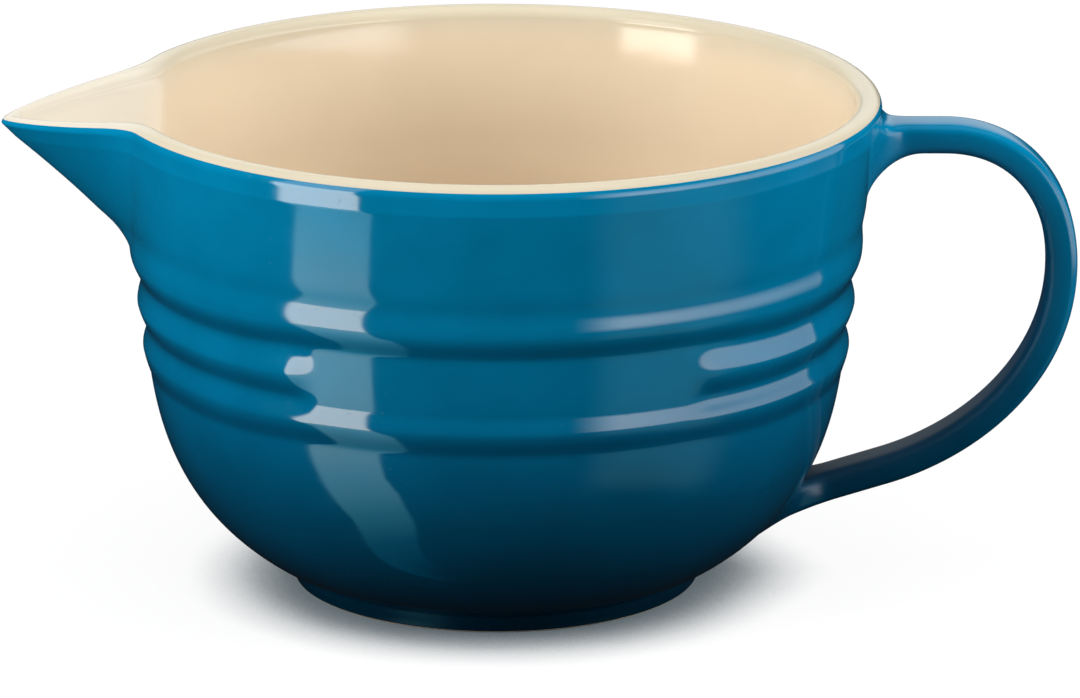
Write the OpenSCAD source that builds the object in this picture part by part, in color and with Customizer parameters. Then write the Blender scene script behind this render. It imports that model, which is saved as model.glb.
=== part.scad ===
/* [Bowl] */
// Outside diameter at the lip
rim_d = 197; // [190:1:204]
// Height from the standing face to the top of the lip
bowl_h = 128.6; // [122:0.1:136]
// How far the widest line of the round belly lies inside the lip
belly_in = 7; // [4:0.1:10]
// Height of the top of the round belly
belly_h = 68; // [64:0.5:71]
// How far below the standing face the belly's curve would reach if the foot did not cut it off
belly_below = 9; // [5:0.5:16]
// Squareness of the belly's curve, where 2 gives an ellipse
belly_square = 2.5; // [2.2:0.05:2.8]
// Outward lean of the wall from the belly up to the flare, in degrees
wall_angle = 6.42; // [4:0.1:9]
// Thickness of the wall
wall_t = 6; // [5:0.1:7]
// Thickness of the floor
floor_t = 5.8; // [4.5:0.1:8]
// Length over which the floor rounds up into the wall
floor_round = 2.5; // [1.5:0.1:4]

/* [Lip] */
// Thickness of the rounded lip
lip_t = 6.6; // [5.8:0.1:8]
// Outward lean of the wall right under the lip, in degrees
lip_lean = 11; // [4:1:16]
// Height of the flare under the lip
flare_h = 36.6; // [30:0.1:40]

/* [Grooves] */
// Distance from one groove to the next
groove_pitch = 13; // [11.5:0.1:14.5]
// Depth of the upper two grooves
groove_depth = 1.4; // [0.6:0.1:2]
// Depth of the step below the lowest band
step_depth = 0.9; // [0.4:0.1:1.6]
// Height of the slope above a groove's bottom
groove_rise = 5.7; // [4:0.1:6.5]
// Height of the slope below a groove's bottom
groove_fall = 5; // [4:0.1:6.5]
// Direction in degrees where the panel without the middle groove starts
panel_start = 240; // [230:1:255]
// Direction in degrees where that panel ends
panel_end = 305; // [290:1:320]

/* [Foot] */
// How far the foot is set back under the belly where they join
foot_inset = 1.6; // [1.1:0.1:3]
// Height of the foot
foot_h = 4.7; // [3.5:0.1:6]
// How much smaller the foot's radius is at the standing face
foot_taper = 1.5; // [0:0.1:3]
// Width of the foot ring
foot_w = 8; // [6:0.1:12]
// Rounding of the foot's lower edges
foot_round = 1.2; // [0.6:0.1:2]

/* [Glaze] */
// Thickness of both glazes
glaze_t = 0.5; // [0.3:0.05:0.8]
// How far up the round of the lip the outside glaze ends, in degrees
glaze_line = 21; // [5:1:60]

/* [Spout] */
// How far the tip stands out past the rim
spout_out = 28.8; // [22:0.1:34]
// How far the widest line of the lip drops at the tip
spout_drop = 5.3; // [2:0.1:9]
// Thickness of the lip at the tip
tip_t = 4.9; // [4:0.1:6]
// Height of the lip's round at the tip
tip_round = 2; // [1.4:0.1:3]
// Height of the spout's root above the edge of the top groove
spout_rise = 1.6; // [0.8:0.1:4]
// Height of the channel's root above the spout's root
channel_rise = 4.7; // [3:0.1:8]
// Angle in degrees from the middle of the spout to its crease with the wall
spout_angle = 18.8; // [15:0.1:20.5]
// Angle in degrees from the middle of the spout to where it runs out into the rim
spout_sector = 26; // [24:0.5:30]

/* [Handle] */
// How far the handle stands out past the rim
handle_out = 50.7; // [44:0.1:56]
// Thickness of the handle's strap
handle_t = 8; // [7:0.1:9.5]
// Width of the handle's strap
handle_w = 12.8; // [11:0.1:15]
// Depth of the upper arm's middle below the top of the lip
arm_depth = 11.5; // [10:0.1:14]
// Length of the upper arm past the rim before it bends
arm_run = 16.2; // [12:0.1:20]
// Height of the handle's farthest point
handle_mid_h = 83; // [76:0.5:90]
// Height of the lower arm's middle where it leaves its bend
low_arm_h = 28.9; // [26:0.1:32]
// How far past the rim the lower arm leaves its bend
low_arm_out = 1.8; // [0:0.1:6]
// Upward slope of the lower arm, in degrees
low_arm_slope = 17.2; // [10:0.2:24]
// Radius of the fillet under the upper root
under_fillet = 12; // [8:0.1:14]
// Radius of the fillet on top of the upper root
top_fillet = 4; // [2:0.1:4.5]
// Radius of the fillets at the sides of the upper root
side_fillet = 8; // [5:0.1:12]
// Radius of the fillets at the sides of the lower root
low_side_fillet = 13; // [8:0.1:16]
// Radius of the fillets above and below the lower root
low_fillet = 4; // [2:0.1:6]

/* [Hidden] */
$fn = 96;

rim_r = rim_d / 2;
belly_r = rim_r - belly_in;
lip_r = lip_t / 2;
lip_z = bowl_h - lip_r;
lip_mid_r = rim_r - lip_r;
flare_z = bowl_h - flare_h;
floor_z = foot_h + floor_t;
belly_drop = belly_h + belly_below;
belly_drop_in = belly_drop - wall_t;

// The flare starts this steeply, as a share of its mean slope
flare_straight_share = 0.46;
// Fine steps of the curves
belly_steps = 11;
groove_steps = 8;
wall_steps = 7;
lip_steps = 3;
bead_steps = 8;
inner_steps = 7;
floor_steps = 12;

// Outside of the wall without its grooves: a squared ellipse that leans out, then a flare
wall_lean = tan(wall_angle);
flare_r = belly_r + wall_lean * (flare_z - belly_h);
flare_end_z = lip_z - lip_r * sin(lip_lean);
flare_end_r = lip_mid_r + lip_r * cos(lip_lean);

function squared(share) = pow(max(1 - pow(share, belly_square), 0), 1 / belly_square);

function flare_share(s) = flare_straight_share * s + (1 - flare_straight_share) * s * s;

function smooth_wall(z) =
    z > flare_z
        ? flare_r + (flare_end_r - flare_r) * flare_share((z - flare_z) / (flare_end_z - flare_z))
        : belly_r * squared(max(belly_h - z, 0) / belly_drop) + wall_lean * (z - belly_h);

// Groove 0 is the top one and groove 2 is the step under the lowest band
groove_count = 3;

function groove_z(i) = belly_h + (1 - i) * groove_pitch;

function dip(z, i) =
    let (
        away = z - groove_z(i),
        reach = away < 0 ? groove_fall : groove_rise,
        deep = i == 2 ? step_depth : groove_depth
    )
    abs(away) < reach ? deep * (1 + cos(180 * away / reach)) / 2 : 0;

function outer_wall(z) = smooth_wall(z) - dip(z, 0) - dip(z, 1) - dip(z, 2);

// Inside of the wall: the same lines set in, growing a little thicker up to the lip
lip_extra = smooth_wall(lip_z) - (lip_mid_r - lip_r) - wall_t;

function inner_wall(z) = smooth_wall(z) - wall_t - lip_extra * (z - belly_h) / (lip_z - belly_h);

// The floor rounds up into the wall as a soft maximum of the two heights
function on_floor(z) = floor_z + floor_round * ln(1 + exp((z - floor_z) / floor_round));

function inside_point(a) =
    let (z = belly_h - belly_drop_in * pow(sin(a), 2 / belly_square))
    [
        max((belly_r - wall_t) * pow(cos(a), 2 / belly_square) + wall_lean * (z - belly_h), 0),
        on_floor(z)
    ];

// The wall is cut level here, just above the top groove, and the spout is formed in the part above
cut_z = groove_z(0) + groove_rise + spout_rise / 2;

// Heights of the outline's points, from the foot up, closest together at the foot
foot_crowding = 1.4;
groove_foot = groove_z(groove_count - 1) - groove_fall;
belly_zs = [
    for (i = [0 : belly_steps - 1])
        foot_h + (groove_foot - foot_h) * pow(i / belly_steps, foot_crowding)
];
groove_zs = [
    for (i = [groove_count - 1 : -1 : 0])
        for (k = [0 : groove_steps])
            let (s = 2 * k / groove_steps - 1)
            groove_z(i) + s * (s < 0 ? groove_fall : groove_rise)
];
upper_zs = [for (i = [1 : wall_steps]) cut_z + (flare_end_z - cut_z) * i / wall_steps];
inner_zs = [for (i = [1 : inner_steps]) lip_z + (cut_z - lip_z) * i / inner_steps];

function lip_arc(from, to, steps) = [
    for (k = [1 : steps])
        let (a = from + (to - from) * k / steps)
        [lip_mid_r + lip_r * cos(a), lip_z + lip_r * sin(a)]
];

// One line round the glazed section: up the outside, over the lip, down inside to the axis
glazed = concat(
    [for (z = belly_zs) [outer_wall(z), z]],
    [for (z = groove_zs) [outer_wall(z), z]],
    [for (z = upper_zs) [outer_wall(z), z]],
    lip_arc(-lip_lean, glaze_line, lip_steps),
    lip_arc(glaze_line, 180, bead_steps),
    [for (i = [0 : inner_steps - 2]) [inner_wall(inner_zs[i]), inner_zs[i]]],
    [for (i = [0 : floor_steps - 1]) inside_point(90 * i / floor_steps)],
    [[0, on_floor(belly_h - belly_drop_in)]]
);

// Places in that line: both ends of the middle groove, the first point above the cut,
// the start of the lip, the glaze line, the end of the lip and the last point above the cut inside
at_band = len(belly_zs) + groove_steps + 1;
at_band_top = at_band + groove_steps;
at_wall = len(belly_zs) + len(groove_zs);
at_lip = at_wall + wall_steps - 1;
at_line = at_lip + lip_steps;
at_inner = at_line + bead_steps;
at_channel = at_inner + inner_steps - 1;
last_point = len(glazed) - 1;

// Directions into the clay, level at the foot and at the ends of the middle groove
level_points = [0, at_band, at_band_top];

function into_clay(i) =
    let (along = glazed[min(i + 1, last_point)] - glazed[max(i - 1, 0)])
    len(search(i, level_points)) > 0 ? [-1, 0]
        : i == last_point ? [0, -1]
        : [-along[1], along[0]] / norm(along);

clay = [for (i = [0 : last_point]) glazed[i] + glaze_t * into_clay(i)];

function part_of(line, from, to) = [for (i = [from : to]) line[i]];

// A coat on the clay, which reaches deep enough into it to be cut off by it
coat_t = wall_t / 4;

function coat(from, to) = concat(
    part_of(glazed, from, to),
    [for (i = [to : -1 : from]) glazed[i] + coat_t * into_clay(i)]
);

// Section turned all the way round
module round_about(points) {
    rotate_extrude()
        polygon(points);
}

// Section turned between two directions
module turned(points, start, end) {
    rotate([0, 0, start])
        rotate_extrude(angle = end - start)
            polygon(points);
}

// Room that the wall leaves for the spout
gap_inside_share = 0.5;
gap_outside_share = 1.5;

module spout_gap() {
    inside = gap_inside_share * rim_r;
    outside = gap_outside_share * rim_r;
    above = bowl_h + lip_t;
    turned(
        [[inside, cut_z], [outside, cut_z], [outside, above], [inside, above]],
        180 - spout_sector,
        180 + spout_sector
    );
}

// The clay turned all the way round, with the middle groove filled at the plain panel
module turned_clay() {
    round_about(concat(clay, [[0, foot_h]]));
    turned(part_of(clay, at_band, at_band_top), panel_start, panel_end);
}

// Triangles of a cap, laced between the two halves of its ring
function cap(first, sides, turn) = [
    for (i = [0 : floor(sides / 2) - 1])
        let (
            a = first + i,
            b = first + i + 1,
            c = first + sides - 2 - i,
            d = first + sides - 1 - i
        )
        each [
            if (b < c) (turn ? [a, b, c] : [c, b, a]),
            if (b <= c) (turn ? [a, c, d] : [d, c, a])
        ]
];

// Closed solid through rings of points, with a cap at each end
module ring_solid(rings) {
    count = len(rings);
    sides = len(rings[0]);
    points = [for (ring = rings) for (p = ring) p];
    walls = [
        for (j = [0 : count - 2])
            for (i = [0 : sides - 1])
                let (
                    a = j * sides + i,
                    b = j * sides + (i + 1) % sides
                )
                each [[a, b, b + sides], [a, b + sides, a + sides]]
    ];
    caps = concat(cap(0, sides, false), cap((count - 1) * sides, sides, true));
    polyhedron(points, concat(walls, caps), convexity = 6);
}

// The spout pushes the wall out from its middle line, falling evenly to the creases
root_z = cut_z + spout_rise / 2;
channel_z = root_z + channel_rise;
tip_in = rim_r + spout_out - tip_t - (rim_r - lip_t);

// Shapes of the push: roundness of the nose and crease, and how the sides open with height
nose_share = 0.075;
crease_share = 0.15;
root_share = 0.04;
outside_power = 1.08;
channel_power = 1.2;
outside_spread = 0.5;
channel_spread = 0.35;
channel_angle_share = 0.936;

// 1 in the middle, falling evenly, then easing to 0 around the crease at 1
function ramp(t) =
    let (
        a = sqrt(t * t + nose_share * nose_share),
        far = 1 + crease_share
    )
    (a < 1 - crease_share ? 1 - a : a < far ? pow(far - a, 2) / (4 * crease_share) : 0) / (1 - nose_share);

// How far up the push a height is, from 0 at its root to 1 at the lip
function up(z, from) = min(max((z - from) / (lip_z - from), 0), 1);

function crease_angle(rise, spread) = spout_angle * pow((rise + root_share) / (1 + root_share), spread);

// Columns of the spout's grid: shares of the crease angle, then even steps out to the sector's end
near_shares = [0, 0.06, 0.16, 0.32, 0.5, 0.68, 0.85, 1, 1.15];
far_steps = 5;
half_columns = len(near_shares) - 1 + far_steps;

function column_angle(k, crease) =
    let (
        n = len(near_shares) - 1,
        j = abs(k),
        edge = near_shares[n] * crease
    )
    sign(k) * (j <= n ? near_shares[j] * crease : edge + (spout_sector - edge) * (j - n) / far_steps);

// The line that is pushed: from the cut up the outside, over the lip and down to the cut inside
spout_line = concat(
    [[outer_wall(cut_z), cut_z]],
    part_of(glazed, at_wall, at_channel),
    [[inner_wall(cut_z), cut_z]]
);
lip_start = at_lip - at_wall + 1;
lip_end = at_inner - at_wall + 1;

// Across the lip, 0 is the outside edge and 1 the inside edge
function across(i) =
    i <= lip_start ? 0 : i >= lip_end ? 1 : min(max((rim_r - spout_line[i][0]) / lip_t, 0), 1);

// Place of that line's point i when it is pushed out at column k
function pushed(i, k) =
    let (
        z = spout_line[i][1],
        w = across(i),
        rise = up(z, root_z),
        rise_in = up(z, channel_z),
        crease = (1 - w) * crease_angle(rise, outside_spread)
            + w * channel_angle_share * crease_angle(rise_in, channel_spread),
        angle = column_angle(k, crease),
        fall = ramp(angle / spout_sector * (1 + crease_share)),
        out = (1 - w) * spout_out * pow(rise, outside_power) + w * tip_in * pow(rise_in, channel_power),
        r = spout_line[i][0] + out * ramp(angle / crease),
        flat = max(z - lip_z, 0) * fall * (1 - tip_round / lip_r)
    )
    [-r * cos(angle), -r * sin(angle), z - spout_drop * fall * rise - flat];

// Middle line of the handle: a level arm, two bends that meet at the farthest point, a sloping arm
arm_z = bowl_h - arm_depth;
far_x = rim_r + handle_out - handle_t / 2;
bend_start = [rim_r + arm_run, arm_z];
bend_far = [far_x, handle_mid_h];
bend_end = [rim_r + low_arm_out, low_arm_h];
slope_way = [cos(low_arm_slope), sin(low_arm_slope)];

// Pulls of the bends as shares of the way that each bend goes
arm_pull_share = 0.62;
far_pull_share = 0.59;
low_far_pull_share = 0.5;
low_pull_share = 0.55;
bend_steps = 10;

function bend(a, b, c, d, t) =
    pow(1 - t, 3) * a + 3 * pow(1 - t, 2) * t * b + 3 * (1 - t) * t * t * c + pow(t, 3) * d;

function upper_bend(t) = bend(
    bend_start,
    bend_start + [arm_pull_share * (bend_far[0] - bend_start[0]), 0],
    bend_far + [0, far_pull_share * (bend_start[1] - bend_far[1])],
    bend_far,
    t
);

function lower_bend(t) = bend(
    bend_far,
    bend_far - [0, low_far_pull_share * (bend_far[1] - bend_end[1])],
    bend_end + low_pull_share * (bend_far[0] - bend_end[0]) * slope_way,
    bend_end,
    t
);

// How far back along way a point is from the outside of the wall
wall_tries = 14;

function back_to_wall(x, y, z, way, found, tries) =
    tries < 1 ? found
        : let (
            r = sqrt(pow(x - found * way[0], 2) + y * y),
            over = r - outer_wall(max(z - found * way[1], foot_h))
        )
        back_to_wall(x, y, z, way, found + over, tries - 1);

// Where the arms meet the wall
arm_root = [outer_wall(arm_z), arm_z];
low_root = bend_end - back_to_wall(bend_end[0], 0, bend_end[1], slope_way, 0, wall_tries) * slope_way;

// Rings of the strap: distances from the root as shares of the root's reach
root_shares = [0, 0.06, 0.16, 0.3, 0.5, 0.75, 1];
// How far the roots reach into the wall, in wall thicknesses
root_in_share = 1;
low_root_in_share = 2;
root_edge = 0.3;
ring_sides = 20;
ring_square = 2.4;

// Extra reach of a round fillet at a distance from the wall
function fillet(radius, far) =
    far >= radius ? 0 : radius - sqrt(max(radius * radius - pow(radius - max(far, 0), 2), 0));

function round_share(v) = sign(v) * pow(abs(v), 2 / ring_square);

// Point of a ring as [out along y, over the middle line]
function ring_offset(a, wide, over, under) =
    let (s = round_share(sin(a)))
    [wide * round_share(cos(a)), s * (s > 0 ? over : under)];

// Ring near a root: flared by the fillets, and bent to follow the wall
function root_ring(root, way, far, reach, wide, over, under) =
    let (
        fade = pow(1 - min(max(far, 0) / reach, 1), 2),
        up_way = [-way[1], way[0]]
    )
    [
        for (i = [0 : ring_sides - 1])
            let (
                o = ring_offset(360 * i / ring_sides, wide, over, under),
                x = root[0] + up_way[0] * o[1],
                z = root[1] + up_way[1] * o[1],
                back = back_to_wall(x, o[0], z, way, 0, wall_tries),
                go = root_edge + far - fade * back
            )
            [x + go * way[0], o[0], z + go * way[1]]
    ];

function arm_ring(far) = root_ring(
    arm_root, [1, 0], far, under_fillet,
    handle_w / 2 + fillet(side_fillet, far),
    handle_t / 2 + fillet(top_fillet, far),
    handle_t / 2 + fillet(under_fillet, far)
);

function low_arm_ring(far) = root_ring(
    low_root, slope_way, far, low_side_fillet,
    handle_w / 2 + fillet(low_side_fillet, far),
    handle_t / 2 + fillet(low_fillet, far),
    handle_t / 2 + fillet(low_fillet, far)
);

function strap_ring(middle, way) =
    let (up_way = [-way[1], way[0]])
    [
        for (i = [0 : ring_sides - 1])
            let (o = ring_offset(360 * i / ring_sides, handle_w / 2, handle_t / 2, handle_t / 2))
            [middle[0] + up_way[0] * o[1], o[0], middle[1] + up_way[1] * o[1]]
    ];

bend_points = concat(
    [for (k = [0 : bend_steps]) upper_bend(k / bend_steps)],
    [for (k = [1 : bend_steps]) lower_bend(k / bend_steps)]
);

function bend_way(i) =
    let (along = bend_points[min(i + 1, 2 * bend_steps)] - bend_points[max(i - 1, 0)])
    along / norm(along);

handle_rings = concat(
    [arm_ring(-root_in_share * wall_t)],
    [for (s = root_shares) arm_ring(s * under_fillet)],
    [for (i = [0 : 2 * bend_steps]) strap_ring(bend_points[i], bend_way(i))],
    [for (k = [len(root_shares) - 1 : -1 : 0]) low_ring_turned(root_shares[k] * low_side_fillet)],
    [low_ring_turned(-low_root_in_share * wall_t)]
);

// The lower root's rings, counted as the strap reaches them from its bend
function low_ring_turned(far) =
    let (ring = low_arm_ring(far))
    [for (i = [0 : ring_sides - 1]) ring[(ring_sides - i) % ring_sides]];

// Everything inside the bowl's outside face, up past the lip
module bowl_filled() {
    round_about(concat(
        [[0, foot_h]],
        part_of(glazed, 0, at_lip),
        [[rim_r, lip_z], [rim_r, bowl_h + lip_t], [0, bowl_h + lip_t]]
    ));
}

// Wall, floor, grooves and lip of clay, with a gap in the wall for the spout
module bowl_body() {
    color("wheat")
        difference() {
            turned_clay();
            spout_gap();
        }
}

// Ring that the bowl stands on
module foot_ring() {
    outer = outer_wall(foot_h) - foot_inset;
    low = outer - foot_taper;
    color("midnightblue")
        round_about([
            [outer - foot_w, foot_h],
            [outer - foot_w, foot_round],
            [outer - foot_w + foot_round, 0],
            [low - foot_round, 0],
            [low, foot_round],
            [outer, foot_h]
        ]);
}

// Wall and lip drawn out into a V
module pouring_spout() {
    color("steelblue")
        ring_solid([
            for (k = [-half_columns : half_columns])
                [for (i = [0 : len(spout_line) - 1]) pushed(i, k)]
        ]);
}

// Strap loop on two flared roots
module handle() {
    color("darkcyan")
        difference() {
            ring_solid(handle_rings);
            bowl_filled();
        }
}

// Cream glaze of the inside and the lip
module interior_glaze() {
    color("bisque")
        difference() {
            round_about(coat(at_line, last_point));
            turned_clay();
            spout_gap();
        }
}

// Blue glaze of the outside, from the foot to the lip
module exterior_glaze() {
    color("steelblue")
        difference() {
            union() {
                round_about(coat(0, at_line));
                turned(part_of(glazed, at_band, at_band_top), panel_start, panel_end);
            }
            turned_clay();
            spout_gap();
        }
}

bowl_body();
foot_ring();
pouring_spout();
handle();
interior_glaze();
exterior_glaze();
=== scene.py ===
import bmesh
import bpy
import numpy as np
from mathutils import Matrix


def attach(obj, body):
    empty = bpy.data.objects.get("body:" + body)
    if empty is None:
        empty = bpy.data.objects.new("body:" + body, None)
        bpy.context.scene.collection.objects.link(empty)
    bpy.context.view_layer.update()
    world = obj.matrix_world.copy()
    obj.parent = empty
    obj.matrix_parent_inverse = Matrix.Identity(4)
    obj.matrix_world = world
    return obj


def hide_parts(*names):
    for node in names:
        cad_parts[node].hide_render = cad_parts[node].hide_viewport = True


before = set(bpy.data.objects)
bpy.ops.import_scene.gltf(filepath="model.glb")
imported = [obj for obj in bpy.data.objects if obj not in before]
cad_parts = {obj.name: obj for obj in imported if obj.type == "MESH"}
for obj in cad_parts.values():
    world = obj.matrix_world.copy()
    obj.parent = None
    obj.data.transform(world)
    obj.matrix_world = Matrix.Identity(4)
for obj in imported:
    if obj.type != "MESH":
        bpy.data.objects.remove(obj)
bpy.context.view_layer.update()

# The fired clay: one buff stoneware, jiggered with its grooves, round bottom and lip. It lies
# under the two glazes all over, and shows only where the foot and the bottom are wiped bare.


def paint(name):
    """A new material, its node tree and its Principled shader."""
    material = bpy.data.materials.new(name)
    material.use_nodes = True
    return material, material.node_tree, material.node_tree.nodes["Principled BSDF"]


def node(tree, kind, **values):
    """A node of a kind, with its properties and its named or numbered input sockets set."""
    made = tree.nodes.new(kind)
    for key, value in values.items():
        if hasattr(made, key):
            setattr(made, key, value)
        else:
            socket = int(key[1:]) if key[1:].isdigit() else key.replace("_", " ")
            made.inputs[socket].default_value = value
    return made


def feed(tree, socket, value):
    """An input that takes another node's output, or a plain value."""
    if hasattr(value, "node"):
        tree.links.new(value, socket)
    else:
        socket.default_value = value


def noise(tree, scale, detail=2.0, roughness=0.5):
    """Height of a noise on Object coordinates, with scale in features a metre."""
    place = node(tree, "ShaderNodeTexCoord")
    made = node(tree, "ShaderNodeTexNoise", Scale=scale, Detail=detail, Roughness=roughness)
    tree.links.new(place.outputs["Object"], made.inputs["Vector"])
    return made.outputs["Fac"]


def ramp_of(tree, value, stops):
    """A colour ramp over a value, with stops as (place, colour)."""
    made = node(tree, "ShaderNodeValToRGB")
    made.color_ramp.elements[0].position = stops[0][0]
    made.color_ramp.elements[0].color = (*stops[0][1], 1)
    made.color_ramp.elements[1].position = stops[-1][0]
    made.color_ramp.elements[1].color = (*stops[-1][1], 1)
    for place, colour in stops[1:-1]:
        made.color_ramp.elements.new(place).color = (*colour, 1)
    tree.links.new(value, made.inputs["Fac"])
    return made.outputs["Color"]


def mapped(tree, value, low, high, to_low, to_high, smooth=False):
    """A value carried from one range to another and held at its ends."""
    made = node(tree, "ShaderNodeMapRange", _1=low, _2=high, _3=to_low, _4=to_high)
    made.interpolation_type = "SMOOTHSTEP" if smooth else "LINEAR"
    tree.links.new(value, made.inputs[0])
    return made.outputs[0]


def mixed(tree, blend, factor, first, second):
    """Two colours mixed by a blend mode, each of the three a socket or a plain value."""
    made = node(tree, "ShaderNodeMix", data_type="RGBA", blend_type=blend)
    for number, value in ((0, factor), (6, first), (7, second)):
        feed(tree, made.inputs[number], value)
    return made.outputs[2]


def bumped(tree, shader, height, strength, distance):
    """A bump on a shader: a share of a distance in metres, by a height."""
    made = node(tree, "ShaderNodeBump", Strength=strength, Distance=distance)
    tree.links.new(height, made.inputs["Height"])
    tree.links.new(made.outputs["Normal"], shader.inputs["Normal"])


clay_dark = (0.50, 0.41, 0.31)
clay_pale = (0.68, 0.59, 0.47)
clay_grain = 900.0
clay_grit = 0.0002
clay_cloud = 60.0
clay_rough = 0.85


def clay_colour(tree):
    """Fired clay: soft clouds between a darker and a paler buff."""
    return ramp_of(tree, noise(tree, clay_cloud, 4.0), [(0.3, clay_dark), (0.7, clay_pale)])


stoneware, tree, shader = paint("fired_stoneware")
tree.links.new(clay_colour(tree), shader.inputs["Base Color"])
shader.inputs["Roughness"].default_value = clay_rough
bumped(tree, shader, noise(tree, clay_grain, 3.0), strength=0.4, distance=clay_grit)

# The blue glaze: a thin glossy coat on the outside, from the foot up over the grooves to the
# lip and out along the spout. It is poured on and fired. Its colour is painted darker
# towards the foot and above each groove, as shade.

# The bowl's own sizes, which the other sections follow
rim_r = 0.0985
bowl_h = 0.1286
belly_r = 0.0915
belly_h = 0.068
belly_drop = 0.0737
belly_square = 2.68
wall_lean = np.tan(np.radians(6.42))
wall_t = 0.006
lip_t = 0.0066
lip_r = lip_t / 2
lip_z = bowl_h - lip_r
lip_mid_r = rim_r - lip_r
flare_z = bowl_h - 0.0366
flare_r = belly_r + wall_lean * (flare_z - belly_h)
flare_start = 0.46
flare_blend = 0.003
foot_h = 0.0047
glaze_t = 0.0005
glaze_line = np.radians(33)

# Grooves: heights and depths, and how far and how steeply the wall falls in above and below.
# Painted shade lies above each of them: how far its middle is over the crease, and how far it reaches.
groove_zs = (0.0814, 0.0686, 0.0566)
groove_depths = (0.00165, 0.00170, 0.00088)
groove_rise = 0.0058
groove_falls = (0.0069, 0.0055, 0.036)
rise_power = 1.6
low_power = 1.3
groove_round = 0.0006
crease_shade_over = 0.0024
crease_shade_reach = 0.0044

# The plain panel, where the band between the first two grooves is left out: its ends, its
# depth at each groove, and how much higher the grooves lie there
panel_start = np.radians(239)
panel_end = np.radians(304)
panel_soft = 0.005
panel_depths = (0.0012, 0.0010, 0.00088)
panel_lifts = (0.0016, 0.0003, 0.0009)
lift_start = 0.03
lift_width = 0.04

# The wall's hollow and the roll below it, and the shoulder under the lip
hollow_in = 0.00042
hollow_z = 0.0948
roll_out = 0.0002
roll_z = 0.0876
roll_reach = 0.0055
shoulder_out = 0.0006
shoulder_z = 0.1212
shoulder_start = 0.1
shoulder_power = 1.4


def smooth_step(s):
    """0 up to 0, 1 from 1 on, with an even ease between them."""
    s = np.clip(s, 0, 1)
    return s * s * (3 - 2 * s)


def smooth_wall(z):
    """Outside radius without its grooves: a squared ellipse that leans out, then a flare that
    starts at a share of its mean slope and grows evenly steeper, blended where they meet."""
    low = np.clip((belly_h - z) / belly_drop, 0, 1)
    belly = belly_r * (1 - low ** belly_square) ** (1 / belly_square) + wall_lean * (z - belly_h)
    s = (z - flare_z) / (lip_z - flare_z)
    flare = flare_r + (rim_r - flare_r) * (flare_start * s + (1 - flare_start) * s * s)
    share = smooth_step((z - flare_z) / flare_blend / 2 + 0.5)
    return belly + (flare - belly) * share


def hump(s):
    """A cosine hump, 1 in the middle and 0 from a distance of 1 on."""
    return (1 + np.cos(np.pi * np.clip(s, -1, 1))) / 2


def inside_panel(phi):
    """How far inside the panel's ends a direction is along the wall, less than 0 outside them."""
    return np.minimum(phi - panel_start, panel_end - phi) * belly_r


def on_panel(phi):
    """1 on the panel and 0 beside it, with a soft end on both sides."""
    return smooth_step(inside_panel(phi) / panel_soft / 2 + 0.5)


def crease(number, phi):
    """Height of a groove: level all round, and a little higher where it passes the panel."""
    near = smooth_step((inside_panel(phi) + lift_start) / lift_width)
    return groove_zs[number] + panel_lifts[number] * near


def groove(away, number):
    """Share of one groove's depth at a height over it: the wall rolls in to a rounded crease by
    a power of what is left of its reach, and the band below stands out again as a cosine
    hump, or by a power below the last groove."""
    far = np.sqrt(away * away + groove_round ** 2) - groove_round
    over = np.clip(1 - far / groove_rise, 0, 1) ** rise_power
    left = np.clip(1 - far / groove_falls[number], 0, 1)
    last = number == len(groove_zs) - 1
    under = left ** low_power if last else hump(1 - left)
    return np.where(away > 0, over, under)


def grooves(z, phi):
    """Depth of all the grooves. On the panel, the wall goes straight from the first groove to
    the second at their depth, and the band between them ends softly on both sides."""
    plain = on_panel(phi)
    numbers = range(len(groove_zs))
    tops = [crease(number, phi) for number in numbers]
    depths = [deep + (low - deep) * plain for deep, low in zip(groove_depths, panel_depths)]
    each = [depths[number] * groove(z - tops[number], number) for number in numbers]
    deep = np.maximum.reduce(each)
    share = np.clip((z - tops[1]) / (tops[0] - tops[1]), 0, 1)
    flat = depths[1] + (depths[0] - depths[1]) * share
    within = (z > tops[1]) & (z < tops[0])
    return np.where(within, deep + (np.maximum(flat, deep) - deep) * plain, deep)


def crease_shade(z, phi):
    """Share of painted shade: a hump over each crease, where the roll above it turns in and faces
    down. On the panel there is no roll over the second groove."""
    shares = (1.0, 1 - on_panel(phi), 1.0)
    return sum(
        share * hump((z - crease(number, phi) - crease_shade_over) / crease_shade_reach)
        for number, share in enumerate(shares)
    )


def outer_wall(z, phi):
    """Outside radius at a height and a direction, with hollow, roll, shoulder and grooves."""
    wave = roll_out * hump((z - roll_z) / roll_reach) - hollow_in * hump((z - hollow_z) / roll_reach)
    up = np.clip((z - shoulder_start) / (shoulder_z - shoulder_start), 0, 1) ** shoulder_power
    back = np.clip((lip_z - z) / (lip_z - shoulder_z), 0, 1)
    return smooth_wall(z) + wave + shoulder_out * np.where(z < shoulder_z, up, back) - grooves(z, phi)


# The spout: how far and how the wall and lip are drawn out around the direction of -X. The
# push starts at the root, and inside at the channel's root, and ends at a crease.
spout_out = 0.0279
spout_drop = 0.0053
tip_t = 0.0049
tip_round = 0.002
root_z = 0.0883
root_t = 0.0047
channel_z = root_z + root_t
tip_in = spout_out - tip_t + lip_t
spout_angle = np.radians(18.8)
spout_sector = np.radians(26)
nose_share = 0.075
outer_crease = 0.26
inner_crease = 0.15
root_share = 0.04
outside_power = 1.08
channel_power = 1.2
outside_spread = 0.5
channel_spread = 0.35
channel_angle_share = 0.936


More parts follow.
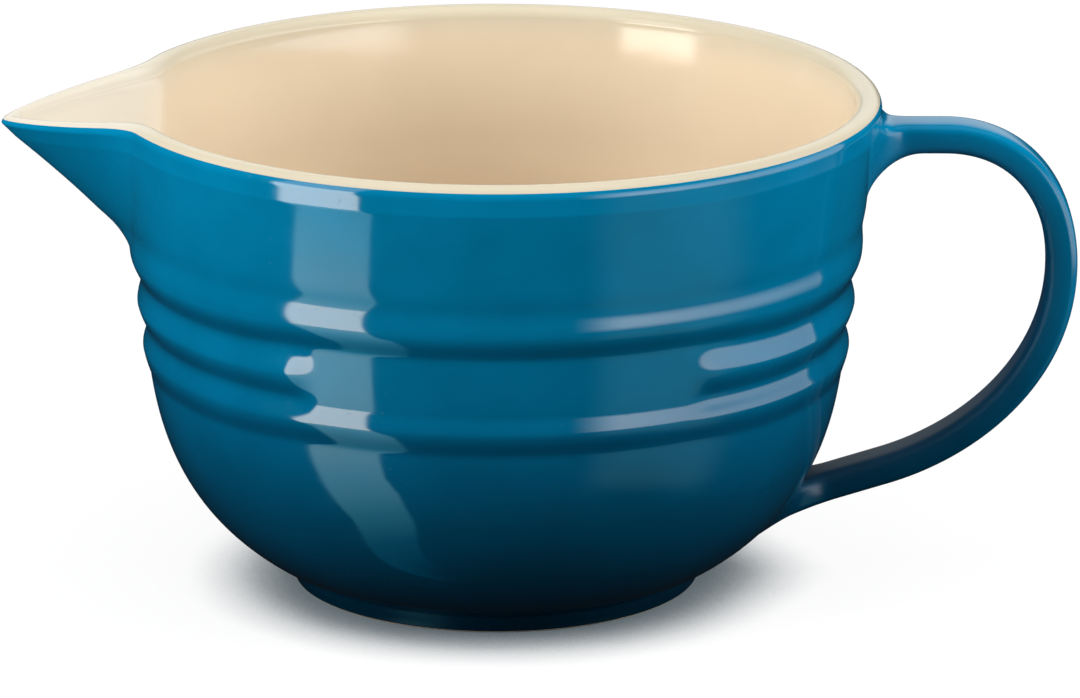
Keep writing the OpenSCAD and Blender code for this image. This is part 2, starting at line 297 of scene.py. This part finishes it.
def draw(t, ease):
    """Share of the push at t, the direction in crease angles: 1 in the middle, falling evenly
    on both sides of a round nose, then easing to 0 around the crease at 1."""
    a = np.sqrt(t * t + nose_share ** 2)
    eased = np.clip(1 + ease - a, 0, None) ** 2 / (4 * ease)
    return np.where(a < 1 - ease, 1 - a, eased) / (1 - nose_share)


def pushed(r, z, inside, phi):
    """Point of the bowl at a radius, height and direction, drawn out into the spout. Both the
    reach and the width of the push grow with height, the lip sinks to the tip, and inside
    runs from 0 on the outer wall to 1 on the inner wall, across the lip."""
    angle = np.abs(phi - np.pi)
    rise = np.clip((z - root_z) / (lip_z - root_z), 0, 1)
    rise_in = np.clip((z - channel_z) / (lip_z - channel_z), 0, 1)
    spread = ((rise + root_share) / (1 + root_share)) ** outside_spread
    spread_in = channel_angle_share * ((rise_in + root_share) / (1 + root_share)) ** channel_spread
    crease_at = spout_angle * ((1 - inside) * spread + inside * spread_in)
    ease = outer_crease + (inner_crease - outer_crease) * inside
    fall = draw(angle / spout_sector * (1 + outer_crease), outer_crease)
    out = (1 - inside) * spout_out * rise ** outside_power + inside * tip_in * rise_in ** channel_power
    far = r + out * draw(angle / crease_at, ease)
    flat = np.clip(z - lip_z, 0, None) * fall * (1 - tip_round / lip_r)
    return np.stack([far * np.cos(phi), far * np.sin(phi), z - spout_drop * fall * rise - flat], -1)


# Directions of the grid, as first and last degree and how many: close together at the spout
# and at the two ends of the panel
spans = [
    (0, 150, 64), (150, 210, 96), (210, 232, 10), (232, 246, 20), (246, 297, 24),
    (297, 311, 20), (311, 360, 22),
]
turns = [np.linspace(first, last, count, endpoint=False) for first, last, count in spans]
directions = np.radians(np.concatenate(turns))

# What counts as no length and as one point, the angle of a sharp edge, and how many rows of a
# front there are to one of its back
tiny = 1e-15
same_point = 1e-7
sharp_from = np.radians(50)
back_every = 3


def facing(points):
    """Unit normals of a grid that closes along its columns, on the side that shows: the cross
    product of the steps along the columns and the rows, with the mean at a pole."""
    along = np.roll(points, -1, 1) - np.roll(points, 1, 1)
    cross = np.cross(along, np.gradient(points, axis=0))
    length = np.linalg.norm(cross, axis=-1, keepdims=True)
    normals = cross / np.maximum(length, tiny)
    poles = length[:, :1, 0] < tiny
    mean = normals[-2].mean(0)
    return np.where(poles[..., None], mean / np.linalg.norm(mean), normals)


def solid(name, rings, looped, shade=None):
    """A closed smooth mesh through rings of points. The rings close on themselves, and the row
    of rings either closes too or ends in a fan at each end. Faces are turned outwards by the
    sign of the volume, and doubled points at poles are merged."""
    rings = np.asarray(rings)
    if not looped:
        ends = rings[[0, -1]].mean(1, keepdims=True).repeat(rings.shape[1], 1)
        rings = np.concatenate([ends[:1], rings, ends[1:]])
    rows, sides = rings.shape[:2]
    i, j = np.meshgrid(np.arange(rows if looped else rows - 1), np.arange(sides), indexing="ij")
    down, across = (i + 1) % rows, (j + 1) % sides
    quads = np.stack([i * sides + j, i * sides + across, down * sides + across, down * sides + j], -1)
    quads = quads.reshape(-1, 4)
    points = rings.reshape(-1, 3)
    a, b, c, d = (points[quads[:, k]] for k in range(4))
    volume = (np.cross(b - a, c - a) * a + np.cross(c - a, d - a) * a).sum()
    if volume < 0:
        quads = quads[:, ::-1]
    mesh = bpy.data.meshes.new(name)
    mesh.from_pydata(points.tolist(), [], quads.tolist())
    if shade is not None:
        mesh.attributes.new("painted_shade", "FLOAT", "POINT").data.foreach_set("value", np.ravel(shade))
    work = bmesh.new()
    work.from_mesh(mesh)
    bmesh.ops.remove_doubles(work, verts=work.verts, dist=same_point)
    work.to_mesh(mesh)
    work.free()
    mesh.shade_smooth()
    mesh.set_sharp_from_angle(angle=sharp_from)
    made = bpy.data.objects.new(name, mesh)
    bpy.context.scene.collection.objects.link(made)
    return made


def set_back(grid, depth):
    """Every third row of a grid, first and last included, set back along its normals, and
    which rows they are."""
    kept = np.unique(np.append(np.arange(0, len(grid), back_every), len(grid) - 1))
    return (grid - depth * facing(grid))[kept], kept


def coat(name, front, shade=None):
    """A glaze coat: the grid that shows, and behind it a coarser one that is set back."""
    behind, kept = set_back(front, glaze_t)
    doubled = None if shade is None else np.concatenate([shade, shade[kept][::-1]])
    return solid(name, np.concatenate([front, behind[::-1]]), True, doubled)


def grid_of(column):
    """A value for every row of the grid, the same in all directions."""
    return column + 0 * directions


# Heights of the rows: closer towards the foot, and closest over the grooves
grooves_from = 0.05
grooves_to = 0.098
shoulder_from = 0.119
foot_crowding = 1.3
foot_steps = np.linspace(0, 1, 30, endpoint=False) ** foot_crowding
foot_rows = foot_h + (grooves_from - foot_h) * foot_steps
groove_rows = np.linspace(grooves_from, grooves_to, 120, endpoint=False)
wall_rows = np.linspace(grooves_to, shoulder_from, 12, endpoint=False)
shoulder_rows = np.linspace(shoulder_from, lip_z, 18)
outer_zs = np.concatenate([foot_rows, groove_rows, wall_rows, shoulder_rows])[:, None]
outer_rs = outer_wall(outer_zs, directions)
lip_angles = np.linspace(0, glaze_line, 8)[1:, None]
outer_zs = grid_of(outer_zs)
lip_zs = grid_of(lip_z + lip_r * np.sin(lip_angles))
lip_rs = grid_of(lip_mid_r + lip_r * np.cos(lip_angles))
lip_inside = np.clip((rim_r - lip_rs) / lip_t, 0, 1)

blue_front = np.concatenate([
    pushed(outer_rs, outer_zs, 0 * outer_zs, directions),
    pushed(lip_rs, lip_zs, lip_inside, directions),
])
# Painted shade over each crease, kept on the points
blue_crease_shade = np.concatenate([crease_shade(outer_zs, directions), 0 * lip_zs])
blue_glaze = coat("blue_glaze", blue_front, blue_crease_shade)

# The blue by height, painted darker step by step from the wall down to the foot, as shade
blue_wall = (0.0, 0.184, 0.352)
blue_roll = (0.0, 0.150, 0.288)
blue_band = (0.0, 0.132, 0.258)
blue_low = (0.0, 0.086, 0.176)
blue_belly = (0.0, 0.057, 0.117)
blue_foot = (0.0, 0.032, 0.067)
blue_toe = (0.0004, 0.009, 0.019)
# Tint and most share of the painted shade over the creases and on the strap's inner face
blue_shade_tint = (0.0, 0.62, 0.66, 1)
blue_shade_most = 0.85
blue_shade_stops = [
    (0.0, blue_toe), (0.10, blue_foot), (0.29, blue_belly), (0.42, blue_low), (0.58, blue_band),
    (0.76, blue_roll), (0.92, blue_wall),
]
blue_mottle = 55.0
blue_tones = (0.93, 1.05)
blue_roughs = (0.05, 0.09)
blue_ripple = 28.0
blue_pin = 1500.0
pin_from, pin_full, pin_deep = 0.74, 0.84, -0.12
glaze_wave = 0.0004
noise_middle = (0.3, 0.7)


def point_of(tree, kind="Object"):
    """The three coordinates of the point or direction that is shaded, as sockets."""
    place = node(tree, "ShaderNodeTexCoord")
    split = node(tree, "ShaderNodeSeparateXYZ")
    tree.links.new(place.outputs[kind], split.inputs[0])
    return split.outputs


def varied(tree, scale, detail, low, high):
    """A value between low and high, carried there from the middle part of a noise."""
    return mapped(tree, noise(tree, scale, detail), *noise_middle, low, high)


def blue_paint(name):
    """Gloss blue glaze: a colour painted darker by height towards the foot as shade, mottled by a
    soft noise, with more painted shade where the painted shade attribute is set, a slow ripple of the
    surface and fine pinholes."""
    material, tree, shader = paint(name)
    level = mapped(tree, point_of(tree)[2], 0, bowl_h, 0, 1)
    # Painted shade: the blue darkens by height towards the foot
    deep = ramp_of(tree, level, blue_shade_stops)
    mottle = varied(tree, blue_mottle, 3.0, *blue_tones)
    tone = mixed(tree, "MULTIPLY", 1.0, deep, mottle)
    # Painted shade over the creases and on the strap's inner face, read from a point attribute
    painted_shade = node(tree, "ShaderNodeAttribute", attribute_name="painted_shade")
    shade_share = mapped(tree, painted_shade.outputs["Fac"], 0, 1, 0, blue_shade_most)
    tree.links.new(mixed(tree, "MULTIPLY", shade_share, tone, blue_shade_tint), shader.inputs["Base Color"])
    tree.links.new(varied(tree, 2 * blue_mottle, 2.0, *blue_roughs), shader.inputs["Roughness"])
    pins = mapped(tree, noise(tree, blue_pin, 1.0), pin_from, pin_full, 0, pin_deep)
    total = node(tree, "ShaderNodeMath", operation="ADD")
    tree.links.new(noise(tree, blue_ripple, 1.0), total.inputs[0])
    tree.links.new(pins, total.inputs[1])
    bumped(tree, shader, total.outputs[0], strength=0.35, distance=glaze_wave)
    return material


glossy_blue = blue_paint("gloss_blue_glaze")
blue_glaze.data.materials.append(glossy_blue)
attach(blue_glaze, "root")
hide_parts("exterior_glaze")

# The cream glaze: the coat of the inside, which runs over the lip, down the channel of the
# spout and the wall to the flat floor. It is warm cream, brighter and warmer deep inside, less
# yellow on the lip and painted darker there as shade against the light from above, and
# paler where it is thin on the lip of the spout.

floor_t = 0.0058
floor_z = foot_h + floor_t
floor_round = 0.0025
lip_extra = lip_t - wall_t


def inner_wall(z):
    """Inside radius above the belly: the outside set in, a little thicker towards the lip."""
    return smooth_wall(z) - wall_t - lip_extra * (z - belly_h) / (lip_z - belly_h)


def inner_belly(a):
    """Radius and height inside the belly at an angle down from level: a squared ellipse whose
    height is rounded into the floor by a soft maximum."""
    z = belly_h - (belly_drop - wall_t) * np.sin(a) ** (2 / belly_square)
    r = (belly_r - wall_t) * np.cos(a) ** (2 / belly_square) + wall_lean * (z - belly_h)
    return np.clip(r, 0, None), floor_z + floor_round * np.logaddexp(0, (z - floor_z) / floor_round)


over_lip = np.linspace(glaze_line, np.pi, 26)
down = np.linspace(lip_z, belly_h, 30)[1:]
belly_r_in, belly_z_in = inner_belly(np.pi / 2 * np.linspace(0, 1, 40)[1:-1])
lip_line_r = lip_mid_r + lip_r * np.cos(over_lip)
lip_line_z = lip_z + lip_r * np.sin(over_lip)
inner_rs = np.concatenate([lip_line_r, inner_wall(down), belly_r_in, [0]])[:, None]
inner_zs = np.concatenate([lip_line_z, down, belly_z_in, belly_z_in[-1:]])[:, None]
inside = np.clip((rim_r - inner_rs) / lip_t, 0, 1)
inside[len(over_lip):] = 1

cream_front = pushed(grid_of(inner_rs), grid_of(inner_zs), grid_of(inside), directions)
cream_glaze = coat("cream_glaze", cream_front)

# By height: brighter and warmer deep inside; on the lip less yellow and painted darker, as shade
# against the light from above
cream_deep = (0.74, 0.590, 0.415)
cream_wall = (0.67, 0.550, 0.395)
cream_lip = (0.580, 0.520, 0.390)
cream_thin = (0.66, 0.615, 0.52, 1)
cream_shade_stops = [(0.5, cream_deep), (0.75, cream_wall), (0.93, cream_wall), (0.985, cream_lip)]
cream_mottle = 38.0
cream_tones = (0.975, 1.015)
cream_roughs = (0.09, 0.15)
cream_ripple = 22.0

# Along X, the paler tone comes in where the lip turns out into the spout
thin_from, thin_full, thin_most = -0.082, -0.094, 0.8

glossy_cream, tree, shader = paint("gloss_cream_glaze")
point = point_of(tree)
warm = ramp_of(tree, mapped(tree, point[2], 0, bowl_h, 0, 1), cream_shade_stops)
mottle = varied(tree, cream_mottle, 4.0, *cream_tones)
thin = mapped(tree, point[0], thin_from, thin_full, 0, thin_most, smooth=True)
warm = mixed(tree, "MIX", thin, warm, cream_thin)
tree.links.new(mixed(tree, "MULTIPLY", 1.0, warm, mottle), shader.inputs["Base Color"])
tree.links.new(varied(tree, 3 * cream_mottle, 2.0, *cream_roughs), shader.inputs["Roughness"])
bumped(tree, shader, noise(tree, cream_ripple, 1.0), strength=0.3, distance=glaze_wave)
cream_glaze.data.materials.append(glossy_cream)
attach(cream_glaze, "root")
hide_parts("interior_glaze")

# The clay bowl itself, with the spout drawn out by hand while it is soft: the space between
# the two glazes, closed by the flat bottom inside the foot ring.

clay_gap = 0.0001
clay_skin = np.concatenate([blue_front, cream_front[1:]])
clay_rings, _ = set_back(clay_skin, glaze_t + clay_gap)

# Every second direction is enough here, and a fan takes the place of the ring at the pole
clay_bowl = solid("clay_bowl", clay_rings[:-1, ::2], False)
clay_bowl.data.materials.append(stoneware)
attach(clay_bowl, "root")
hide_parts("bowl_body", "pouring_spout")

# The foot ring: a low turned ring under the belly. Its sides are glazed, and its lower face is
# wiped bare so that the bowl doesn't stick to the kiln shelf.

foot_out = 0.0539
foot_taper = 0.0015
foot_w = 0.008
foot_round = 0.0012
foot_lift = 0.0006
foot_waist_share = 0.6
wiped_h = 0.0006
foot_roughs = (0.25, 0.8)
foot_gloss = 0.12


def quarter(mid_r, mid_z, start, end):
    """Points of a round edge of the foot about its middle, between two angles in degrees."""
    a = np.radians(np.linspace(start, end, 9))
    return np.stack([mid_r + foot_round * np.cos(a), mid_z + foot_round * np.sin(a)], -1)


foot_line = np.concatenate([
    quarter(foot_out - foot_taper - foot_round, foot_round, -90, 0),
    [[foot_out - foot_taper / 2, foot_h * foot_waist_share]],
    [[foot_out, foot_h + foot_lift], [foot_out - foot_w, foot_h + foot_lift]],
    quarter(foot_out - foot_w + foot_round, foot_round, 180, 270),
])
around = np.linspace(0, 2 * np.pi, 240, endpoint=False)[:, None]
foot_rings = np.stack([
    foot_line[:, 0] * np.cos(around),
    foot_line[:, 0] * np.sin(around),
    foot_line[:, 1] + 0 * around,
], -1)
foot = solid("foot_ring_glazed", foot_rings, True)

foot_paint = blue_paint("foot_glaze")
tree = foot_paint.node_tree
shader = tree.nodes["Principled BSDF"]
bare = mapped(tree, point_of(tree)[2], wiped_h, wiped_h / 2, 0, 1)
glazed = shader.inputs["Base Color"].links[0].from_socket
wiped = mixed(tree, "MIX", bare, glazed, clay_colour(tree))
tree.links.new(wiped, shader.inputs["Base Color"])
tree.links.new(mapped(tree, bare, 0, 1, *foot_roughs), shader.inputs["Roughness"])
shader.inputs["Specular IOR Level"].default_value = foot_gloss
foot.data.materials.append(foot_paint)
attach(foot, "root")
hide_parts("foot_ring")

# The handle: a strap loop, cast apart and luted on at two roots that are smoothed out into
# the wall by hand. It is dipped with the bowl, so its glaze is one with the outside's.

handle_out = 0.0507
handle_t = 0.008
handle_w = 0.0128
handle_square = 4.4
arm_drop = 0.0115
arm_reach = 0.0162
far_z = 0.083
low_reach = 0.0018
low_z = 0.0289
low_slope = np.radians(17.2)
arm_z = bowl_h - arm_drop
bend_start = np.array([rim_r + arm_reach, arm_z])
bend_far = np.array([rim_r + handle_out - handle_t / 2, far_z])
bend_end = np.array([rim_r + low_reach, low_z])
arm_way = np.array([1.0, 0.0])
low_way = np.array([np.cos(low_slope), np.sin(low_slope)])
arm_pull, far_pull, low_far_pull, low_pull = 0.62, 0.59, 0.5, 0.55
under_fillet = 0.012
top_fillet = 0.004
side_fillet = 0.008
low_side_fillet = 0.013
low_fillet = 0.004
root_sink = 0.00015
root_depth = 0.6 * wall_t
root_crowding = 1.6
root_steps = np.linspace(0, 1, 22) ** root_crowding
wall_tries = 24
ring_turn = np.linspace(0, 2 * np.pi, 56, endpoint=False)

# The strap's inner face is painted darker, as shade, and is duller: the share of both falls around the
# ring with the sine of the turn
shade_middle, shade_slope = 0.45, 0.75
shade_low, shade_high = 0.2, 0.9
strap_roughs = (0.07, 0.55)
strap_gloss = 0.35


def bend(a, b, c, d, t):
    """Points of a cubic curve from a to d that is pulled towards b and c."""
    t = t[:, None]
    return (1 - t) ** 3 * a + 3 * (1 - t) ** 2 * t * b + 3 * (1 - t) * t * t * c + t ** 3 * d


def fillet(radius, far):
    """Extra reach of a round fillet at a distance from the wall."""
    inside = np.clip(radius - np.clip(far, 0, radius), 0, radius)
    return radius - np.sqrt(radius ** 2 - inside ** 2)


def strap(middle, way, wide, over, under):
    """Rings of the strap: squared ellipses about middle points, square to way, with half width
    wide and reaches over and under the middle line."""
    c, s = np.cos(ring_turn), np.sin(ring_turn)
    power = 2 / handle_square
    side = wide * np.sign(c) * np.abs(c) ** power
    rise = np.sign(s) * np.abs(s) ** power * np.where(s > 0, over, under)
    up = np.stack([-way[..., 1], way[..., 0]], -1)
    x = middle[..., 0] + up[..., 0] * rise
    z = middle[..., 1] + up[..., 1] * rise
    return x, side + 0 * x, z


def back_to_wall(x, y, z, way):
    """How far back along way the outside of the wall is, found by stepping there: each step
    is as long as the distance from the wall at that height."""
    found = 0 * x
    for _ in range(wall_tries):
        wall = outer_wall(np.maximum(z - found * way[1], foot_h), 0.0)
        found = found + np.hypot(x - found * way[0], y) - wall
    return found


def root_rings(root, way, reach, wide, over, under):
    """Rings of a root, the first one inside the wall and the others closer together near it:
    the strap, widened by the three fillets and bent to follow the wall, less so further out."""
    fars = np.append(-root_depth, root_steps * reach)[:, None]
    wide = handle_w / 2 + fillet(wide, fars)
    over = handle_t / 2 + fillet(over, fars)
    under = handle_t / 2 + fillet(under, fars)
    x, y, z = strap(root, way, wide, over, under)
    back = back_to_wall(x, y, z, way)
    fade = (1 - np.clip(fars / reach, 0, 1)) ** 2
    go = fars - root_sink - fade * back
    return np.stack([x + go * way[0], y, z + go * way[1]], -1)


arm_root = np.array([outer_wall(np.array(arm_z), 0.0), arm_z])
low_root = bend_end - back_to_wall(bend_end[0], 0.0, bend_end[1], low_way) * low_way
arm_rings = root_rings(arm_root, arm_way, under_fillet, side_fillet, top_fillet, under_fillet)
low_rings = root_rings(
    low_root, low_way, low_side_fillet, low_side_fillet, low_fillet, low_fillet
)
steps = np.linspace(0, 1, 41)
middle = np.concatenate([
    bend(
        bend_start,
        bend_start + np.array([arm_pull * (bend_far[0] - bend_start[0]), 0]),
        bend_far + np.array([0, far_pull * (bend_start[1] - bend_far[1])]),
        bend_far,
        steps,
    ),
    bend(
        bend_far,
        bend_far - np.array([0, low_far_pull * (bend_far[1] - bend_end[1])]),
        bend_end + low_pull * (bend_far[0] - bend_end[0]) * low_way,
        bend_end,
        steps[1:],
    ),
])
ways = np.gradient(middle, axis=0)
ways = ways / np.linalg.norm(ways, axis=1, keepdims=True)
strap_points = strap(middle[:, None], ways[:, None], handle_w / 2, handle_t / 2, handle_t / 2)
low_part = np.roll(low_rings[::-1, ::-1], 1, 1)
handle_rings = np.concatenate([arm_rings, np.stack(strap_points, -1), low_part])
inner_shade = smooth_step(shade_middle - shade_slope * np.sin(ring_turn))
inner_shade = np.tile(inner_shade, (len(handle_rings) + 2, 1))
handle = solid("handle_strap", handle_rings, False, inner_shade)
handle_paint = blue_paint("handle_glaze")
tree = handle_paint.node_tree
shader = tree.nodes["Principled BSDF"]
# The painted shade on the inner face also makes it rougher here
painted_shade = node(tree, "ShaderNodeAttribute", attribute_name="painted_shade")
dull = mapped(tree, painted_shade.outputs["Fac"], shade_low, shade_high, *strap_roughs)
tree.links.new(dull, shader.inputs["Roughness"])
shader.inputs["Specular IOR Level"].default_value = strap_gloss
handle.data.materials.append(handle_paint)
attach(handle, "root")
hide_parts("handle")

# The floor: a plain pale sheet that the bowl stands on. The camera sees it pale, mostly as a
# glow with the bowl's shadow painted by ambient occlusion and a little of its real lit shade;
# to other rays it is dark and gives little light back, so that the round bottom stays dark.

floor_half = 4.0
floor_pale = (0.93, 0.93, 0.935, 1)
floor_dim = (0.12, 0.12, 0.12, 1)
painted_shadow_share = 0.85
painted_shadow_reach = 0.03
painted_shadow_samples = 16
painted_shadow_stops = [
    (0.18, (0.06, 0.09, 0.105)), (0.28, (0.23, 0.26, 0.275)),
    (0.39, (0.64, 0.66, 0.67)), (0.60, (1.02, 1.02, 1.02)),
]

floor_mesh = bpy.data.meshes.new("floor")
signs = [(-1, -1), (1, -1), (1, 1), (-1, 1)]
corners = [(floor_half * x, floor_half * y, 0) for x, y in signs]
floor_mesh.from_pydata(corners, [], [(0, 1, 2, 3)])
floor = bpy.data.objects.new("floor", floor_mesh)
bpy.context.scene.collection.objects.link(floor)
floor_paint, tree, shader = paint("floor_paper")
ray = node(tree, "ShaderNodeLightPath")
seen = mixed(tree, "MIX", ray.outputs["Is Camera Ray"], floor_dim, floor_pale)
tree.links.new(seen, shader.inputs["Base Color"])
shader.inputs["Roughness"].default_value = 1.0
shader.inputs["Specular IOR Level"].default_value = 0.0
# Painted shadow: a glow whose colour is ramped by how closely the bowl hems the floor in
close = node(tree, "ShaderNodeAmbientOcclusion", Distance=painted_shadow_reach, samples=painted_shadow_samples)
shade = ramp_of(tree, close.outputs["AO"], painted_shadow_stops)
shadow_glow = node(tree, "ShaderNodeEmission")
tree.links.new(shade, shadow_glow.inputs["Color"])
share = node(tree, "ShaderNodeMath", operation="MULTIPLY", _1=painted_shadow_share)
tree.links.new(ray.outputs["Is Camera Ray"], share.inputs[0])
both = node(tree, "ShaderNodeMixShader")
tree.links.new(share.outputs[0], both.inputs[0])
tree.links.new(shader.outputs[0], both.inputs[1])
tree.links.new(shadow_glow.outputs[0], both.inputs[2])
tree.links.new(both.outputs[0], tree.nodes["Material Output"].inputs["Surface"])
floor_mesh.materials.append(floor_paint)
floor.visible_glossy = False

# The light: a plain studio. Soft boxes stand to the left, the right and above. What the glazes
# mirror of them and of the table is painted on the world by direction, and the camera sees
# a white background.

sky = bpy.data.worlds.new("studio")
bpy.context.scene.world = sky
sky.use_nodes = True
tree = sky.node_tree
tree.nodes.clear()

# All angles are in degrees. A turn is 0 towards the camera and grows to the left, or for the
# right box to the right, and a tilt is 0 when level. A pair of turns or tilts is where a
# light starts and ends, and a soft width is how far it eases to both sides of such a place.
dome_tilts = (5, 45)
dome_low = 0.2
dome_high = 0.8
mirror_dim = 0.006

# The left box, its upper part, and what the table mirrors of it below its lower edge
left_edge = -22.5
left_edge_soft = 0.7
left_box = (41.0, 67.5)
left_soft = 0.8
left_far_soft = 1.2
left_bright = 8.6
left_tint = (1.0, 0.96, 0.86)
left_top_at = 10.0
left_top_soft = 4.0
left_high_to = 42
left_high_soft = 6.0
left_above = 2.3
left_fade_level = 10.0
left_fade = [
    (0.0, (0.0, 0.0, 0.0)), (0.10, (0.0, 0.015, 0.03)), (0.28, (0.003, 0.034, 0.055)),
    (0.50, (0.026, 0.11, 0.13)), (0.75, (0.10, 0.22, 0.24)), (1.0, (0.235, 0.31, 0.27)),
]
left_low = (-80.0, -22.0)
inner_drift = 0.055
inner_shift = 3.0
inner_shift_tilts = (-43, -38)
outer_drift = 0.115
drift_from = -52.0

# The right box, which gets weaker to the side, and the veil under it
right_edge = -14.0
right_edge_soft = 4.5
right_top_at = 16.0
right_top_soft = 12.0
right_box = (32.0, 123.0)
right_near_soft = 9.0
right_far_soft = 1.0
right_fade_turns = (45, 115)
right_fade_least = 0.3
right_bright = 4.4
veil_gap = 4.0
veil_turns = (36, 84)
veil_turns_soft = (8.0, 12.0)
veil_tilts = (-40, right_edge - veil_gap)
veil_tilts_soft = (4.0, 3.0)
veil_tint = (0.20, 0.48, 0.45)

# The soft light behind, and the top box
back_turns = (150, 185)
back_turns_soft = (14.0, 1.0)
back_tilts = (4, 40)
back_tilts_soft = (5.0, 10.0)
back_level = 0.9
back_tint = (1.0, 1.0, 0.97)
top_tilts = (50, 62)
top_level = 0.35


def calc(operation, first, second=0.0):
    """One step of arithmetic on the world's directions."""
    made = node(tree, "ShaderNodeMath", operation=operation)
    feed(tree, made.inputs[0], first)
    feed(tree, made.inputs[1], second)
    return made.outputs[0]


def between(value, low, high, soft_low, soft_high):
    """1 between two values, easing to 0 over the two soft widths."""
    rising = mapped(tree, value, low - soft_low, low + soft_low, 0, 1, smooth=True)
    falling = mapped(tree, value, high - soft_high, high + soft_high, 1, 0, smooth=True)
    return calc("MULTIPLY", rising, falling)


def glow(mask, level, colour=(1, 1, 1)):
    """A light patch: a mask times a level and a colour."""
    shade = node(tree, "ShaderNodeCombineXYZ", _0=colour[0], _1=colour[1], _2=colour[2])
    scaled = node(tree, "ShaderNodeVectorMath", operation="SCALE")
    tree.links.new(shade.outputs[0], scaled.inputs[0])
    tree.links.new(calc("MULTIPLY", mask, level), scaled.inputs["Scale"])
    return scaled.outputs[0]


way = point_of(tree, "Generated")
tilt = calc("DEGREES", calc("ARCSINE", way[2]))
to_left = calc("MULTIPLY", way[0], -1)
to_camera = calc("MULTIPLY", way[1], -1)
left_turn = calc("DEGREES", calc("ARCTAN2", to_left, to_camera))
right_turn = calc("MULTIPLY", left_turn, -1)

# Both sides of the left box move outwards below drift_from, by the square of how far below,
# and its inner side is shifted inwards at the low tilts
below = calc("MAXIMUM", calc("SUBTRACT", drift_from, tilt), 0)
drift = calc("MULTIPLY", below, below)
inner_turn = calc("SUBTRACT", left_turn, calc("MULTIPLY", drift, inner_drift))
inner_turn = calc("ADD", inner_turn, mapped(tree, tilt, *inner_shift_tilts, inner_shift, 0))
outer_turn = calc("SUBTRACT", left_turn, calc("MULTIPLY", drift, outer_drift))
near_side = (left_box[0] - left_soft, left_box[0] + left_soft)
far_side = (left_box[1] - left_soft, left_box[1] + left_far_soft)
low_side = (left_edge - left_edge_soft, left_edge + left_edge_soft)
inner = mapped(tree, inner_turn, *near_side, 0, 1, smooth=True)
outer = mapped(tree, outer_turn, *far_side, 1, 0, smooth=True)
left_mask = calc("MULTIPLY", inner, outer)
main_tilts = between(tilt, left_edge, left_top_at, left_edge_soft, left_top_soft)
high_tilts = between(tilt, left_top_at, left_high_to, left_top_soft, left_high_soft)
left_main = calc("MULTIPLY", left_mask, main_tilts)
left_high = calc("MULTIPLY", left_mask, high_tilts)
left_below = calc("MULTIPLY", left_mask, mapped(tree, tilt, *low_side, 1, 0, smooth=True))
fading = ramp_of(tree, mapped(tree, tilt, *left_low, 0, 1), left_fade)
below_light = node(tree, "ShaderNodeVectorMath", operation="SCALE")
tree.links.new(fading, below_light.inputs[0])
tree.links.new(calc("MULTIPLY", left_below, left_fade_level), below_light.inputs["Scale"])

right_sides = between(right_turn, *right_box, right_near_soft, right_far_soft)
right_fade = mapped(tree, right_turn, *right_fade_turns, 1, right_fade_least)
right_mask = calc("MULTIPLY", right_sides, right_fade)
right_tilts = between(tilt, right_edge, right_top_at, right_edge_soft, right_top_soft)
right_main = calc("MULTIPLY", right_mask, right_tilts)
veil_sides = between(right_turn, *veil_turns, *veil_turns_soft)
veil = calc("MULTIPLY", veil_sides, between(tilt, *veil_tilts, *veil_tilts_soft))

back_sides = between(calc("ABSOLUTE", left_turn), *back_turns, *back_turns_soft)
behind = calc("MULTIPLY", back_sides, between(tilt, *back_tilts, *back_tilts_soft))
overhead = mapped(tree, tilt, *top_tilts, 0, 1, smooth=True)

mirror = glow(1.0, mirror_dim)
for patch in (
    glow(left_main, left_bright, left_tint),
    glow(left_high, left_above),
    below_light.outputs[0],
    glow(right_main, right_bright),
    glow(veil, 1.0, veil_tint),
    glow(behind, back_level, back_tint),
    glow(overhead, top_level),
):
    total = node(tree, "ShaderNodeVectorMath", operation="ADD")
    tree.links.new(mirror, total.inputs[0])
    tree.links.new(patch, total.inputs[1])
    mirror = total.outputs[0]

ray = node(tree, "ShaderNodeLightPath")
dome = mapped(tree, tilt, *dome_tilts, dome_low, dome_high)
plain = mixed(tree, "MIX", ray.outputs["Is Camera Ray"], dome, (1, 1, 1, 1))
light = mixed(tree, "MIX", ray.outputs["Is Glossy Ray"], plain, mirror)
studio = node(tree, "ShaderNodeBackground")
tree.links.new(light, studio.inputs["Color"])
world_out = node(tree, "ShaderNodeOutputWorld")
tree.links.new(studio.outputs[0], world_out.inputs["Surface"])

# Name, turn to the left and lift in degrees, distance, size, and how bright a white card
# would be that faces the lamp at the bowl
soft_boxes = [
    ("left_box", 62.0, 20.0, 1.6, 0.9, 0.96),
    ("right_box", -76.0, 22.0, 1.7, 0.9, 0.86),
    ("top_box", 10.0, 80.0, 1.5, 1.1, 0.15),
]
for name, turn, lift, distance, size, level in soft_boxes:
    lamp = bpy.data.lights.new(name, "AREA")
    lamp.shape = "SQUARE"
    lamp.size = size
    lamp.energy = level * np.pi * np.pi * distance ** 2
    box = bpy.data.objects.new(name, lamp)
    turn, lift = np.radians(turn), np.radians(lift)
    box.location = (
        -distance * np.cos(lift) * np.sin(turn),
        -distance * np.cos(lift) * np.cos(turn),
        distance * np.sin(lift) + bowl_h / 2,
    )
    box.rotation_euler = (np.pi / 2 - lift, 0, -turn)
    box.visible_glossy = False
    bpy.context.scene.collection.objects.link(box)

# The camera: the photograph's view, square to the line from spout to handle and looking down
# a little from above the rim.

camera_place = (0.0113, -1.8260, 0.5849)
camera_down = np.radians(16.04)
camera_roll = np.radians(0.1)

lens = bpy.data.cameras.new("camera")
lens.sensor_width = 36.0
lens.lens = 245.66
camera = bpy.data.objects.new("camera", lens)
camera.location = camera_place
camera.rotation_mode = "ZYX"
camera.rotation_euler = (np.pi / 2 - camera_down, 0, camera_roll)
bpy.context.scene.collection.objects.link(camera)
bpy.context.scene.camera = camera
bpy.context.scene.view_settings.view_transform = "Standard"
